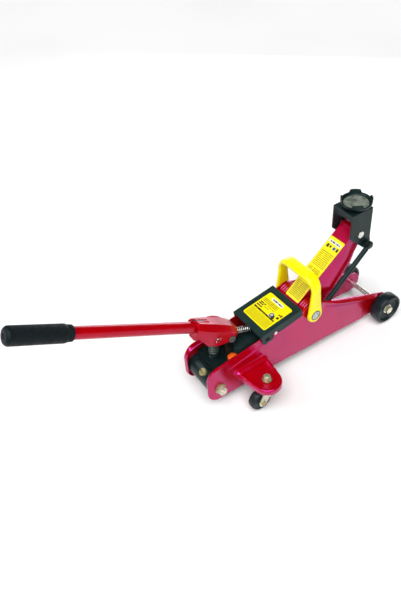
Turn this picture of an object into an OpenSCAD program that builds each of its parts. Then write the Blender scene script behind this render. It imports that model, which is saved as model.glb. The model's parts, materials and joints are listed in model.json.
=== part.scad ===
// Hydraulic trolley jack, shown partly raised.
// +X points forward, from the handle to the front wheels; +Y is the jack's left; +Z is up.
// The origin is on the floor, under the middle of the overall length.

/* [Frame] */
// Half width over the outer faces of the side plates
frame_half = 45; // [44:0.5:46]
// Thickness of the side plates
plate_t = 3.5; // [3:0.25:4]
// Distance from the front axle back to the lift arm's pivot
pivot_back = 202; // [200:1:205]
// Height of the lift arm's pivot
pivot_z = 122; // [120:1:124]

/* [Wheels] */
// Radius of the front wheels
wheel_r = 35; // [34:0.5:36]
// Width of the front wheels
wheel_w = 24.8; // [24:0.2:25.4]
// Radius of the caster wheels
caster_r = 23; // [22:0.5:24]
// Distance from the middle plane to each caster's swivel axis
caster_y = 96; // [94:1:98]
// Distance from a caster's swivel axis back to its axle
caster_trail = 19; // [16:1:20]

/* [Lift arm] */
// Distance from the arm's pivot to the saddle bracket's pin
arm_len = 183; // [180:1:186]
// Angle of the arm above the floor, as shown
arm_angle = 43; // [40:1:45]
// Diameter of the arm's pivot shaft
shaft_d = 16; // [15:0.5:17]

/* [Saddle] */
// Radius of the saddle
saddle_r = 32; // [30:0.5:33]
// Height of the saddle's seat above the bracket's pin
seat_rise = 61; // [60:0.5:62]

/* [Handle] */
// Angle of the handle above the floor, as shown
handle_angle = 28.9; // [27:0.1:30]
// Diameter of the handle tube
tube_d = 22.6; // [22:0.2:24]
// Diameter of the grip
grip_d = 32.4; // [31:0.2:33]
// Length of the grip
grip_len = 116; // [100:1:125]
// Distance from the socket's pivot to the end of the grip
handle_reach = 452; // [430:1:480]

/* [Hidden] */
$fn = 96;

run_fit = 0.06;   // radial clearance of a shaft that turns in its bore
fix_fit = 0.05;   // radial clearance of a fixed pin in its hole
gap = 0.3;        // end clearance between pieces that move apart

plate_in = frame_half - plate_t;
axle_r = 6;
shaft_r = shaft_d / 2;
tube_r = tube_d / 2;
grip_r = grip_d / 2;

// Socket pivot, measured from the front axle, and the handle's axis above it
socket_back = 388;
socket_z = 143;
handle_rise = 14.2;
rear_reach = socket_back + handle_reach * cos(handle_angle)
    + (grip_r - handle_rise) * sin(handle_angle);
axle_x = (rear_reach - wheel_r) / 2;

// Front wheel, from the middle plane outwards
wheel_in = 51.9;
hub_face = wheel_in + 17.8;

// Rear end of the frame
block_back = 434;
block_z = 52;
block_r = 24;
valve_y = -8;
valve_lean = 37;
bolt_back = 436;
bolt_z = 49;

// Upper front edge of the side plates, from the arm's pivot to the nose
edge_top = [-pivot_back + 12, pivot_z + 19.5];
edge_end = [4.2, 61.4];
flange_w = 14;
flange_t = 3.1;
nose_r = 25.5;

// Casters
caster_back = 358;
ear_top = 69;
ear_t = 3.5;
ear_r = 30;
ear_rear = 398;
ear_front = 320.5;
nut_z = ear_top + 2.4;
nut_h = 8;
fork_top = 57;
fork_t = 2.8;
caster_w = 20;

// Hydraulics
ram_z = 83.4;
ram_r = 12.5;
tank_z = 76;
tank_r = 29;
tank_back = 378;
tank_front = 266;
pump_back = 417;
pump_r = 7;
roller_r = 6;

// Arm, in its own frame: a runs from the pivot to the bracket pin, b is above it
tail_a = -13;
tail_b = -40;
arm_half = 21;
flare_half = 28.5;
arm_wall = 3;
top_b = 24.6;
top_slope = -0.0717;
pin_x = arm_len * cos(arm_angle) - pivot_back;
pin_z = pivot_z + arm_len * sin(arm_angle);
seat_z = pin_z + seat_rise;
plate_z = seat_z - 6;
link_dx = 19;
link_dz = -30;
bracket_half = 27.5;
bracket_t = 3;
bracket_back = 28;
bracket_front = 26;
saddle_x = pin_x + 6;
tail_x = tail_a * cos(arm_angle) - tail_b * sin(arm_angle) - pivot_back;
tail_z = pivot_z + tail_a * sin(arm_angle) + tail_b * cos(arm_angle);
link_x = pin_x + link_dx;
link_z = pin_z + link_dz;
link_low_x = -pivot_back + link_dx;
link_low_z = pivot_z + link_dz;
link_mid = 35.7;
link_r = 5.4;
eye_r = 9;

// Handle's drive on the pump, and the spring that lifts it
drive_s = -35;
drive_h = -1;
cap_z = 151.7;
spring_z = 133;

// Carry handle
bail_rise = 86;
bail_corner = 16;
bail_in = 47.3;
bail_out = 56;

// Cover
cover_back = 335;
cover_z = 131;
cover_len = 104.4;
cover_slope = 9.37;
cover_half = 47;
cover_t = 3.2;
skirt_t = 1.7;
screw_u = 35.2;
screw_w = -15.5;

// ---------- helpers ----------

module at_axle() { translate([axle_x, 0, 0]) children(); }

module both() {
    children();
    mirror([0, 1, 0]) children();
}

// A cylinder along Y between two distances from the middle plane
module bar_y(x, z, r, y0, y1) {
    translate([x, y1, z]) rotate([90, 0, 0]) cylinder(r = r, h = y1 - y0);
}

// A hexagon along Y
module hex_y(x, z, flats, y0, y1) {
    translate([x, y1, z]) rotate([90, 0, 0]) cylinder(d = flats / cos(30), h = y1 - y0, $fn = 6);
}

// A flat outline in the X-Z plane, thickened between two distances from the middle plane
module slab_y(points, y0, y1) {
    translate([0, y1, 0]) rotate([90, 0, 0]) linear_extrude(y1 - y0) polygon(points);
}

// A round wire swept along a list of points
function unit(v) = v / norm(v);
function wire_ring(p, t, r, n) =
    let (u = unit(cross(t, abs(t[2]) < 0.9 ? [0, 0, 1] : [1, 0, 0])), w = cross(t, u))
    [for (k = [0:n - 1]) p + r * (cos(360 * k / n) * u + sin(360 * k / n) * w)];
module wire(path, r, n) {
    m = len(path);
    tangent = [for (i = [0:m - 1]) unit(path[min(i + 1, m - 1)] - path[max(i - 1, 0)])];
    rings = [for (i = [0:m - 1]) each wire_ring(path[i], tangent[i], r, n)];
    sides = [for (i = [0:m - 2], k = [0:n - 1], half = [0, 1])
        half == 0 ? [i * n + k, i * n + (k + 1) % n, (i + 1) * n + (k + 1) % n]
            : [i * n + k, (i + 1) * n + (k + 1) % n, (i + 1) * n + k]];
    ends = [[for (k = [n - 1:-1:0]) k], [for (k = [0:n - 1]) (m - 1) * n + k]];
    polyhedron(rings, concat(sides, ends), convexity = 8);
}

// Points of a coil along +Z
function coil(r, length, turns, steps) =
    [for (i = [0:turns * steps]) [r * cos(360 * i / steps), r * sin(360 * i / steps),
        length * i / (turns * steps)]];

module in_arm() {
    at_axle() translate([-pivot_back, 0, pivot_z]) rotate([0, -arm_angle, 0]) children();
}

// In the handle's frame the handle runs towards -X and z = handle_rise is its axis
module on_handle() {
    at_axle() translate([-socket_back, 0, socket_z]) rotate([0, handle_angle, 0]) children();
}

module in_cover() {
    at_axle() translate([-cover_back, 0, cover_z]) rotate([0, -cover_slope, 0]) children();
}

module bar_x(x0, x1, y, z, r) {
    translate([x0, y, z]) rotate([0, 90, 0]) cylinder(r = r, h = x1 - x0);
}

// ---------- frame ----------

module plate_outline() {
    slab_y([[-439.5, 19.3], [-462.6, 42.5], [-462.6, 77], [-439.4, 104.3], [-345, 119.8],
        [-pivot_back - 20, pivot_z + 17], [-pivot_back, pivot_z + 22],
        edge_top, edge_end, [15, 38.5], [-6.4, 13.4], [-146, 21], [-301, 25.5],
        [-384, 19.8]], plate_in, frame_half);
    bar_y(-439.5, 42.5, 23.5, plate_in, frame_half);
    bar_y(-435, 77, 28, plate_in, frame_half);
    bar_y(-pivot_back, pivot_z, 22, plate_in, frame_half);
    bar_y(-5, 38.5, nose_r, plate_in, frame_half);
}

// Outward flange along the falling front edge
function on_edge(f, drop) = edge_top + f * (edge_end - edge_top) - [0, drop];
module plate_flange() {
    slab_y([on_edge(0.11, 0), on_edge(0.77, 0), on_edge(0.77, flange_t), on_edge(0.11, flange_t)],
        frame_half - 1, frame_half + flange_w);
}

module side_plate() {
    at_axle() difference() {
        union() {
            plate_outline();
            plate_flange();
        }
        bar_y(0, wheel_r, axle_r + fix_fit, 0, 60);
        bar_y(-pivot_back, pivot_z, shaft_r + fix_fit, 0, 60);
        bar_y(-bolt_back, bolt_z, 6 + fix_fit, 0, 60);
    }
}
module side_plate_left() { color("firebrick") side_plate(); }
module side_plate_right() { color("firebrick") mirror([0, 1, 0]) side_plate(); }

// D-shaped ear that carries a caster, set in from its edge
module ear_shape(inset, z0, z1) {
    r = ear_r - inset - 0.4;
    rear = 169.3;
    front = 8.2;
    translate([0, 0, z0]) linear_extrude(z1 - z0)
        polygon([[-ear_rear + inset, frame_half],
            [-caster_back + r * cos(rear), caster_y + r * sin(rear)],
            [-caster_back + r * cos(front), caster_y + r * sin(front)],
            [-ear_front - inset, frame_half]]);
    translate([-caster_back, caster_y, z0]) cylinder(r = ear_r - inset, h = z1 - z0);
}
module caster_mount() {
    at_axle() difference() {
        ear_shape(0, fork_top - 1, ear_top);
        ear_shape(3.2, fork_top - 2, ear_top - ear_t);
        translate([-caster_back, caster_y, ear_top - 10]) cylinder(r = 5 + fix_fit, h = 20);
    }
}
module caster_mount_left() { color("firebrick") caster_mount(); }
module caster_mount_right() { color("firebrick") mirror([0, 1, 0]) caster_mount(); }

// ---------- front wheels ----------

module front_axle() {
    color("silver") at_axle() bar_y(0, wheel_r, axle_r, -78, 78);
}
module axle_collars() {
    color("silver") at_axle() both() difference() {
        bar_y(0, wheel_r, 10, frame_half, wheel_in + gap - 0.5);
        bar_y(0, wheel_r, axle_r + fix_fit, 30, 60);
    }
}
module axle_washers() {
    color("silver") at_axle() both() difference() {
        bar_y(0, wheel_r, 11, hub_face + gap, hub_face + gap + 1.6);
        bar_y(0, wheel_r, axle_r + fix_fit, 60, 80);
    }
}
module axle_nuts() {
    color("gold") at_axle() both() difference() {
        hex_y(0, wheel_r, 16, hub_face + gap + 1.6, hub_face + gap + 8.8);
        bar_y(0, wheel_r, axle_r + fix_fit, 60, 90);
    }
}

// Dished wheel with a rounded tread, profile turned about its axle
module front_wheel() {
    at_axle() translate([0, wheel_in, wheel_r]) rotate([-90, 0, 0]) rotate_extrude()
        polygon([[axle_r + run_fit, 0.3], [13, 0.3], [14, 5], [27, 5], [28, 0.6],
            [wheel_r - 3, 0], [wheel_r - 0.9, 1.2], [wheel_r, 4], [wheel_r, wheel_w - 4],
            [wheel_r - 0.9, wheel_w - 1.2], [wheel_r - 3, wheel_w], [wheel_r - 5.5, wheel_w],
            [wheel_r - 6.5, wheel_w - 1], [wheel_r - 8, 19.2], [15, 16.8],
            [13.5, hub_face - wheel_in], [axle_r + run_fit, hub_face - wheel_in]]);
}
module front_wheel_left() { color("dimgray") front_wheel(); }
module front_wheel_right() { color("dimgray") mirror([0, 1, 0]) front_wheel(); }

// ---------- rear bolts and casters ----------

module rear_bolts() {
    color("gold") at_axle() both() {
        hex_y(-bolt_back, bolt_z, 17, frame_half + 3, frame_half + 12);
        bar_y(-bolt_back, bolt_z, 6, 22, frame_half + 15);
    }
}
module rear_washers() {
    color("silver") at_axle() both() difference() {
        bar_y(-bolt_back, bolt_z, 12, frame_half, frame_half + 3);
        bar_y(-bolt_back, bolt_z, 6 + fix_fit, 30, 60);
    }
}
module caster_bolts() {
    color("gold") at_axle() both() translate([-caster_back, caster_y, 0]) {
        translate([0, 0, 50]) cylinder(r = 8, h = fork_top - fork_t - gap - 50);
        translate([0, 0, 52]) cylinder(r = 5, h = nut_z + nut_h + 2 - 52);
    }
}
module caster_nuts() {
    color("gold") at_axle() both() translate([-caster_back, caster_y, nut_z]) difference() {
        cylinder(d = 13 / cos(30), h = nut_h, $fn = 6);
        translate([0, 0, -1]) cylinder(r = 5 + fix_fit, h = nut_h + 2);
    }
}
module caster_washers() {
    color("silver") at_axle() both() translate([-caster_back, caster_y, ear_top])
        difference() {
            cylinder(r = 10, h = nut_z - ear_top);
            translate([0, 0, -1]) cylinder(r = 5 + fix_fit, h = 6);
        }
}
module caster_races() {
    color("silver") at_axle() both()
        translate([-caster_back, caster_y, fork_top + gap]) difference() {
            cylinder(r = 14, h = ear_top - ear_t - fork_top - gap);
            translate([0, 0, -1]) cylinder(r = 5 + fix_fit, h = 12);
        }
}
module caster_fork() {
    leg = caster_w / 2 + 1.2;
    at_axle() translate([-caster_back, caster_y, 0]) difference() {
        union() {
            translate([0, 0, fork_top - fork_t]) cylinder(r = 15, h = fork_t);
            for (y0 = [-leg - fork_t, leg]) {
                slab_y([[-14, fork_top - 0.2], [14, fork_top - 0.2],
                    [9 - caster_trail, caster_r - 1], [-9 - caster_trail, caster_r - 1]],
                    y0, y0 + fork_t);
                bar_y(-caster_trail, caster_r, 9, y0, y0 + fork_t);
            }
        }
        translate([0, 0, 40]) cylinder(r = 5 + run_fit, h = 30);
        bar_y(-caster_trail, caster_r, 3.5 + fix_fit, -20, 20);
    }
}
module caster_fork_left() { color("gold") caster_fork(); }
module caster_fork_right() { color("gold") mirror([0, 1, 0]) caster_fork(); }

module caster_wheel() {
    h = caster_w / 2;
    at_axle() translate([-caster_back - caster_trail, caster_y - h, caster_r])
        rotate([-90, 0, 0]) rotate_extrude()
            polygon([[3.5 + run_fit, 0], [9, 0], [10, 1.6], [caster_r - 6, 1.6],
                [caster_r - 4, 0.4], [caster_r - 1.2, 2.6], [caster_r, 6],
                [caster_r, caster_w - 6], [caster_r - 1.2, caster_w - 2.6],
                [caster_r - 4, caster_w - 0.4], [caster_r - 6, caster_w - 1.6],
                [10, caster_w - 1.6], [9, caster_w], [3.5 + run_fit, caster_w]]);
}
module caster_wheel_left() { color("black") caster_wheel(); }
module caster_wheel_right() { color("black") mirror([0, 1, 0]) caster_wheel(); }

module caster_rivet() {
    leg = caster_w / 2 + 1.2 + fork_t;
    at_axle() translate([0, caster_y, 0]) {
        bar_y(-caster_back - caster_trail, caster_r, 3.5, -leg - 1, leg + 1);
        bar_y(-caster_back - caster_trail, caster_r, 5.5, leg, leg + 2);
        bar_y(-caster_back - caster_trail, caster_r, 5.5, -leg - 2, -leg);
    }
}
module caster_rivet_left() { color("silver") caster_rivet(); }
module caster_rivet_right() { color("silver") mirror([0, 1, 0]) caster_rivet(); }

// ---------- power unit ----------

// The valve screw stands out of the rear of the pump block
module on_valve() {
    at_axle() translate([-block_back, valve_y, block_z]) rotate([0, -valve_lean, 0]) children();
}
module pump_block() {
    color("darkslategray") difference() {
        at_axle() union() {
            bar_y(-block_back, block_z, block_r, -plate_in, plate_in);
            translate([-block_back, -36, 42]) cube([block_back - tank_back, 72, 48]);
            translate([-pump_back, 0, 60]) cylinder(r = 14, h = 33);
        }
        at_axle() translate([-pump_back, 0, 56]) cylinder(r = pump_r + run_fit, h = 60);
        at_axle() both() bar_y(-bolt_back, bolt_z, 6 + fix_fit, 21, 50);
        on_valve() translate([0, 0, 14]) cylinder(r = 8 + run_fit, h = 30);
    }
}
module valve_screw() {
    color("darkkhaki") on_valve() difference() {
        translate([0, 0, 14.3]) cylinder(r = 8, h = 15.7);
        translate([-1.4, -10, 26.5]) cube([2.8, 20, 6]);
    }
}
module filler_plug() {
    color("orangered") at_axle() translate([-389.5, -25.2, 90]) intersection() {
        cylinder(r = 10.5, h = 11);
        translate([0, 0, -6]) sphere(r = 15);
    }
}
module reservoir_tube() {
    color("darkslategray") at_axle() {
        difference() {
            bar_x(-tank_back, -tank_front, 0, tank_z, tank_r);
            bar_x(-tank_back - 1, -tank_front + 1, 0, tank_z, tank_r - 3);
        }
        translate([-322.5, 0, tank_z + tank_r - 1.5]) cylinder(r = 3, h = 14);
    }
}
module pressure_cylinder() {
    color("slategray") at_axle() difference() {
        bar_x(-tank_back, -tank_front, 0, ram_z, 17);
        bar_x(-tank_back - 1, -tank_front + 1, 0, ram_z, ram_r + run_fit);
    }
}
module gland_nut() {
    color("darkslategray") at_axle() difference() {
        bar_x(-tank_front, -tank_front + 8, 0, tank_z, tank_r);
        bar_x(-tank_front - 1, -tank_front + 9, 0, ram_z, ram_r + run_fit);
    }
}
module ram() { color("silver") at_axle() bar_x(-326, -207, 0, ram_z, ram_r); }
module ram_yoke() {
    slot_r = 6.9;
    color("slategray") at_axle() difference() {
        translate([-207, -16.4, ram_z - 15]) cube([tail_x + 14 + 207, 32.8, 30]);
        for (dz = [-3.8, 3.8]) bar_y(tail_x, ram_z + dz, slot_r, -20, 20);
        translate([tail_x - slot_r, -20, ram_z - 3.8]) cube([2 * slot_r, 40, 7.6]);
    }
}
module tail_pin() { color("silver") at_axle() bar_y(tail_x, tail_z, 6, -25, 25); }

module pump_sleeve() {
    color("dimgray") at_axle() translate([-pump_back, 0, 93]) difference() {
        cylinder(r = 11.5, h = 10);
        translate([0, 0, -1]) cylinder(r = pump_r + run_fit, h = 12);
    }
}
module pump_plunger() {
    color("silver") at_axle() translate([-pump_back, 0, 0]) {
        translate([0, 0, 68]) cylinder(r = pump_r, h = cap_z - 70);
        translate([0, 0, cap_z - 4]) cylinder(r = 11, h = 4);
    }
}
module plunger_spring() {
    color("gray") at_axle() translate([-pump_back, 0, 104])
        wire(coil(9.2, cap_z - 4 - 105, 7, 14), 0.95, 6);
}

// ---------- handle ----------

module handle_bracket() {
    color("darkslategray") at_axle() translate([-socket_back, 0, 0]) difference() {
        union() {
            translate([-14, -14.2, 90]) cube([24, 28.4, 4]);
            both() {
                translate([-10, 9, 90]) cube([20, 5, socket_z - 90]);
                bar_y(0, socket_z, 10, 9, 14);
            }
        }
        bar_y(0, socket_z, 5 + run_fit, -20, 20);
    }
}
module socket_pivot_pin() {
    color("silver") at_axle() {
        bar_y(-socket_back, socket_z, 5, -26, 26);
        both() bar_y(-socket_back, socket_z, 7, 24.2, 27);
    }
}
module handle_socket() {
    color("red") on_handle() difference() {
        union() {
            bar_x(-94, 14, 0, handle_rise, 17);
            translate([-84, -24, 4]) cube([96, 48, 14]);
            both() {
                slab_y([[-88, 8], [-84, 18], [12, 18], [12, 0], [3, -10], [-28, -17],
                    [-60, -17], [-80, -10]], 20.5, 24);
                bar_y(0, 0, 10.5, 20.5, 24);
            }
            translate([-88, -10, -14]) cube([26, 20, 16]);
        }
        bar_x(-95, -44, 0, handle_rise, tube_r + run_fit);
        translate([-46, -20.5, -25]) cube([64, 41, 36]);
        translate([-62.5, -20.5, -25]) cube([20, 41, 19]);
        translate([-95, -2.2, 20]) cube([29, 4.4, 14]);
        bar_y(0, 0, 5 + fix_fit, -30, 30);
        bar_y(drive_s, drive_h, 4 + fix_fit, -30, 30);
    }
    // Lug that holds the upper end of the return spring
    color("red") on_handle() slab_y([[2, 13], [13.5, 13], [17.5, 7], [17.5, 1], [12.5, 1],
        [8, 11.5]], -2.5, 2.5);
}
module drive_pin() {
    color("silver") on_handle() {
        bar_y(drive_s, drive_h, 4, -26, 26);
        both() bar_y(drive_s, drive_h, 6, 24, 26.5);
    }
}
module drive_roller() {
    color("silver") on_handle() difference() {
        bar_y(drive_s, drive_h, roller_r, -9, 9);
        bar_y(drive_s, drive_h, 4 + fix_fit, -10, 10);
    }
}
module return_spring() {
    color("silver") at_axle() translate([-368, 0, spring_z]) rotate([0, 90 + 21.5, 0])
        wire(coil(5.7, 44, 10, 14), 0.8, 6);
}
module handle_tube() {
    color("red") on_handle() difference() {
        bar_x(-handle_reach + 6, -45, 0, handle_rise, tube_r);
        bar_x(-handle_reach + 3, -44, 0, handle_rise, tube_r - 1.8);
    }
}
module handle_grip() {
    color("black") on_handle() difference() {
        translate([-handle_reach, 0, handle_rise]) rotate([0, 90, 0]) rotate_extrude()
            polygon([[0, 0], [grip_r - 4, 0], [grip_r - 1.2, 1], [grip_r, 4],
                [grip_r, grip_len - 3],
                [grip_r - 1.5, grip_len], [0, grip_len]]);
        bar_x(-handle_reach + 6, 0, 0, handle_rise, tube_r + fix_fit);
    }
}

// ---------- cover ----------

module cover_plate() {
    color("darkslategray") in_cover() difference() {
        union() {
            translate([0, -cover_half, -cover_t]) cube([cover_len, 2 * cover_half, cover_t]);
            both() slab_y([[0, -1], [cover_len, -1], [cover_len, -18], [30, -20],
                [26, -27], [4, -27], [0, -20]], cover_half - skirt_t, cover_half);
            translate([0, -cover_half, -6]) cube([skirt_t, 2 * cover_half, 5]);
            translate([cover_len - skirt_t, -cover_half, -10])
                cube([skirt_t, 2 * cover_half, 9]);
        }
        translate([14, -38, -1.4]) cube([78, 76, 3]);
        translate([-1, -9, -20]) cube([4, 18, 16.8]);
        both() bar_y(14, -16, 5, 40, 50);
        both() slab_y([[screw_u - 7, screw_w - 4.5], [screw_u + 7, screw_w - 4.5],
            [screw_u + 7, screw_w + 4.5], [screw_u - 7, screw_w + 4.5]], 40, 50);
    }
}
module cover_label() {
    color("yellow") in_cover() translate([16, -36, -1.4]) cube([74, 72, 0.5]);
}
module cover_screws() {
    color("silver") in_cover() both() bar_y(screw_u, screw_w, 4, frame_half, frame_half + 2.4);
}

// ---------- lift arm ----------

function top_at(a) = top_b + (a + 14) * top_slope;

// Cross-section of the flared part of the arm at a station along it
module arm_section(a, top_half, side_half, drop, low, inset) {
    top = top_at(a) - 0.2;
    translate([a, 0, 0]) rotate([90, 0, 90]) linear_extrude(0.02)
        polygon([[-top_half + inset, top - inset], [top_half - inset, top - inset],
            [side_half - inset, top - drop], [side_half - inset, low - 2 * inset],
            [-side_half + inset, low - 2 * inset], [-side_half + inset, top - drop]]);
}
module arm_flare(inset) {
    hull() {
        arm_section(42 + inset, arm_half - 1.2, arm_half - 0.6, 4, -33, inset);
        arm_section(60, arm_half - 0.5, flare_half, 17, -36.5, inset);
        arm_section(127, arm_half - 0.8, 24.5, 9, -34, inset);
        arm_section(169 + 2 * inset, arm_half - 1.4, 20.6, 4, -18, inset);
    }
}
module lift_arm() {
    color("red") in_arm() difference() {
        union() {
            slab_y([[-14, top_b], [186, top_at(186)], [190, 5], [arm_len, -11],
                [163, -24], [127, -35], [60, -38], [-8, -51], [-24, -43], [-26, 0],
                [-20, 18]], -arm_half, arm_half);
            bar_y(0, 0, 22.4, -arm_half, arm_half);
            bar_y(arm_len, 0, 11, -22, 22);
            bar_y(tail_a, tail_b, 12, -arm_half, arm_half);
            arm_flare(0);
        }
        slab_y([[-60, 40], [-16, 40], [-16, top_at(-16) - arm_wall],
            [210, top_at(210) - arm_wall], [210, -80], [-60, -80]],
            -arm_half + 3.5, arm_half - 3.5);
        arm_flare(arm_wall);
        bar_y(0, 0, shaft_r + run_fit, -40, 40);
        bar_y(arm_len, 0, 6 + run_fit, -40, 40);
        bar_y(tail_a, tail_b, 6 + fix_fit, -40, 40);
    }
}
module arm_label() {
    color("yellow") in_arm() slab_y([[-2, top_at(-2)], [150, top_at(150)],
        [150, top_at(150) + 0.4], [-2, top_at(-2) + 0.4]], -20.3, 20.3);
}
module arm_shaft() {
    color("silver") at_axle() bar_y(-pivot_back, pivot_z, shaft_r, -55, 55);
}
module shaft_caps() {
    color("silver") at_axle() both() difference() {
        bar_y(-pivot_back, pivot_z, 11, 53.9, 57);
        bar_y(-pivot_back, pivot_z, shaft_r + fix_fit, 50, 55.05);
    }
}
module torsion_spring() {
    coil_half = 21.6;
    turn = 2.5;
    steps = 24;
    pitch = 5.7;
    at_axle() translate([-pivot_back, 24.5, pivot_z]) rotate([-90, -60, 0])
        wire([for (i = [0:turn * steps]) [coil_half * cos(360 * i / steps),
            coil_half * sin(360 * i / steps), pitch * i / steps]], 2.7, 10);
}
module torsion_spring_left() { color("red") torsion_spring(); }
module torsion_spring_right() { color("red") mirror([0, 1, 0]) torsion_spring(); }

// Bail handle that turns on the arm's pivot shaft
module carry_handle() {
    mid = (bail_in + bail_out) / 2;
    color("yellow") at_axle() translate([-pivot_back, 0, pivot_z]) difference() {
        union() {
            both() {
                bar_y(0, 0, 18, frame_half + 0.4, bail_out);
                translate([-8.5, bail_in, 0])
                    cube([17, bail_out - bail_in, bail_rise - bail_corner]);
                translate([0, mid - bail_corner, bail_rise - bail_corner])
                    rotate([90, 0, 90]) translate([0, 0, -8.5])
                        rotate_extrude(angle = 90) translate([bail_corner - 4.35, 0])
                            square([8.7, 17]);
            }
            translate([-8.5, -mid + bail_corner, bail_rise - 4.35])
                cube([17, 2 * (mid - bail_corner), 8.7]);
        }
        bar_y(0, 0, shaft_r + run_fit, -70, 70);
        both() bar_y(0, 0, 11.5, 53.5, 60);
    }
}

// ---------- saddle and its link ----------

module link_rod() {
    color("darkslategray") at_axle() mirror([0, 1, 0]) difference() {
        union() {
            for (end = [[link_x, link_z], [link_low_x, link_low_z]])
                bar_y(end[0], end[1], eye_r, 31, 38.5);
            translate([link_low_x, link_mid, link_low_z]) rotate([0, 90 - arm_angle, 0])
                translate([0, 0, eye_r - 0.5]) cylinder(r = link_r, h = arm_len - 2 * eye_r + 1);
        }
        bar_y(link_low_x, link_low_z, 4 + run_fit, 20, 50);
        bar_y(link_x, link_z, 4.8, 20, 50);
    }
}
module link_stud() {
    color("silver") at_axle() mirror([0, 1, 0]) {
        bar_y(link_low_x, link_low_z, 4, 30.6, plate_in);
        bar_y(link_low_x, link_low_z, 6, 29.3, 30.6);
    }
}
module link_pin() {
    color("silver") at_axle() mirror([0, 1, 0]) {
        bar_y(link_x, link_z, 4, bracket_half - bracket_t - 1, 40);
        bar_y(link_x, link_z, 6.5, 38.9, plate_in - 0.35);
        bar_y(link_x, link_z, 6.5, bracket_half - bracket_t - 2, bracket_half - bracket_t);
    }
}
module saddle_bracket() {
    color("darkslategray") at_axle() difference() {
        union() {
            both() {
                slab_y([[pin_x - bracket_back, plate_z], [pin_x + bracket_front, plate_z],
                    [pin_x + bracket_front + 1, pin_z - 15], [link_x + 10.6, link_z + 3],
                    [link_x, link_z - 11], [link_x - 8, link_z - 7.5],
                    [pin_x - bracket_back, pin_z]], bracket_half - bracket_t, bracket_half);
                bar_y(link_x, link_z, 11, bracket_half - bracket_t, bracket_half);
            }
            translate([pin_x - bracket_back, -bracket_half, plate_z - bracket_t])
                cube([bracket_back + bracket_front, 2 * bracket_half, bracket_t]);
        }
        bar_y(pin_x, pin_z, 6 + fix_fit, -40, 40);
        bar_y(link_x, link_z, 4 + fix_fit, -40, 40);
        translate([saddle_x, 0, plate_z - 10]) cylinder(r = 8 + run_fit, h = 20);
    }
}
module bracket_pin() {
    color("silver") at_axle() {
        bar_y(pin_x, pin_z, 6, -bracket_half - 0.5, bracket_half + 0.5);
        both() bar_y(pin_x, pin_z, 7.5, bracket_half, bracket_half + 1.6);
    }
}
module bracket_bushes() {
    color("gray") at_axle() both() difference() {
        bar_y(pin_x, pin_z, 9, 22, bracket_half - bracket_t - gap);
        bar_y(pin_x, pin_z, 6 + run_fit, 10, 40);
    }
}
// Cup with four lugs that bears on the vehicle, turning on its own stem
module saddle() {
    base = plate_z + gap;
    color("darkslategray") at_axle() translate([saddle_x, 0, 0]) {
        translate([0, 0, plate_z - bracket_t - 4]) cylinder(r = 8, h = bracket_t + 8);
        translate([0, 0, base]) rotate_extrude()
            polygon([[0, 0], [saddle_r - 7, 0], [saddle_r - 1, 4], [saddle_r, 7],
                [saddle_r, 10.6], [saddle_r - 5, 10.6], [saddle_r - 7, seat_z - base],
                [0, seat_z - base]]);
        for (k = [0:3]) rotate([0, 0, 90 * k + 28]) translate([0, 0, base + 9])
            rotate_extrude(angle = 46) translate([saddle_r - 4.7, 0]) square([4.4, 8.2]);
    }
}
module saddle_screw() {
    color("silver") at_axle() translate([saddle_x, 0, plate_z - bracket_t - 4])
        mirror([0, 0, 1]) {
            cylinder(r = 12, h = 2);
            translate([0, 0, 2]) cylinder(d = 13 / cos(30), h = 5, $fn = 6);
        }
}

side_plate_left();
side_plate_right();
caster_mount_left();
caster_mount_right();
front_axle();
axle_collars();
axle_washers();
axle_nuts();
front_wheel_left();
front_wheel_right();
rear_bolts();
rear_washers();
caster_bolts();
caster_nuts();
caster_washers();
caster_races();
caster_fork_left();
caster_fork_right();
caster_wheel_left();
caster_wheel_right();
caster_rivet_left();
caster_rivet_right();
pump_block();
reservoir_tube();
pressure_cylinder();
gland_nut();
ram();
ram_yoke();
tail_pin();
filler_plug();
valve_screw();
pump_sleeve();
pump_plunger();
plunger_spring();
handle_bracket();
socket_pivot_pin();
handle_socket();
drive_pin();
drive_roller();
return_spring();
handle_tube();
handle_grip();
cover_plate();
cover_label();
cover_screws();
lift_arm();
arm_label();
arm_shaft();
shaft_caps();
torsion_spring_left();
torsion_spring_right();
carry_handle();
link_rod();
link_pin();
link_stud();
saddle_bracket();
bracket_pin();
bracket_bushes();
saddle();
saddle_screw();
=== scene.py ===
import json
import math

import bmesh
import bpy
from mathutils import Matrix, Vector


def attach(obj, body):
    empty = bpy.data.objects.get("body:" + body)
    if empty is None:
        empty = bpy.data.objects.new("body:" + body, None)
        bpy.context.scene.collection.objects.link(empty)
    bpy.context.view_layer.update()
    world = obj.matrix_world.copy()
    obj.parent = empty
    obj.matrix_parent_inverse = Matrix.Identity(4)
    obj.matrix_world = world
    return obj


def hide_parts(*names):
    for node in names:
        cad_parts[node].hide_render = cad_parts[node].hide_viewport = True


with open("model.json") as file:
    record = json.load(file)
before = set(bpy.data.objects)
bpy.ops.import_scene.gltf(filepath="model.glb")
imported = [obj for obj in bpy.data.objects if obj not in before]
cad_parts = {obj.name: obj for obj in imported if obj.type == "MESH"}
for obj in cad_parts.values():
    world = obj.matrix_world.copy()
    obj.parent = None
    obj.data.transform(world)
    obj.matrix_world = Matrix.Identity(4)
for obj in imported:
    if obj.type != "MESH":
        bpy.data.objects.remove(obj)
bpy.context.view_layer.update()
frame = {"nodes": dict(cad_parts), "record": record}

# ---------------------------------------------------------------- named sizes, in mm
# Everything is measured from the front axle, as in the part's source: +X forward, +Z up.
AXLE_X = 374.838
PIVOT = (-202.0, 122.0)
ARM_ANGLE = math.radians(43.0)
ARM_TOP, ARM_TOP_SLOPE = 24.6, -0.0717
SOCKET = (-388.0, 143.0)
HANDLE_ANGLE = math.radians(28.9)
HANDLE_RISE = 14.2
TUBE_R, GRIP_R = 11.3, 16.2
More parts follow.
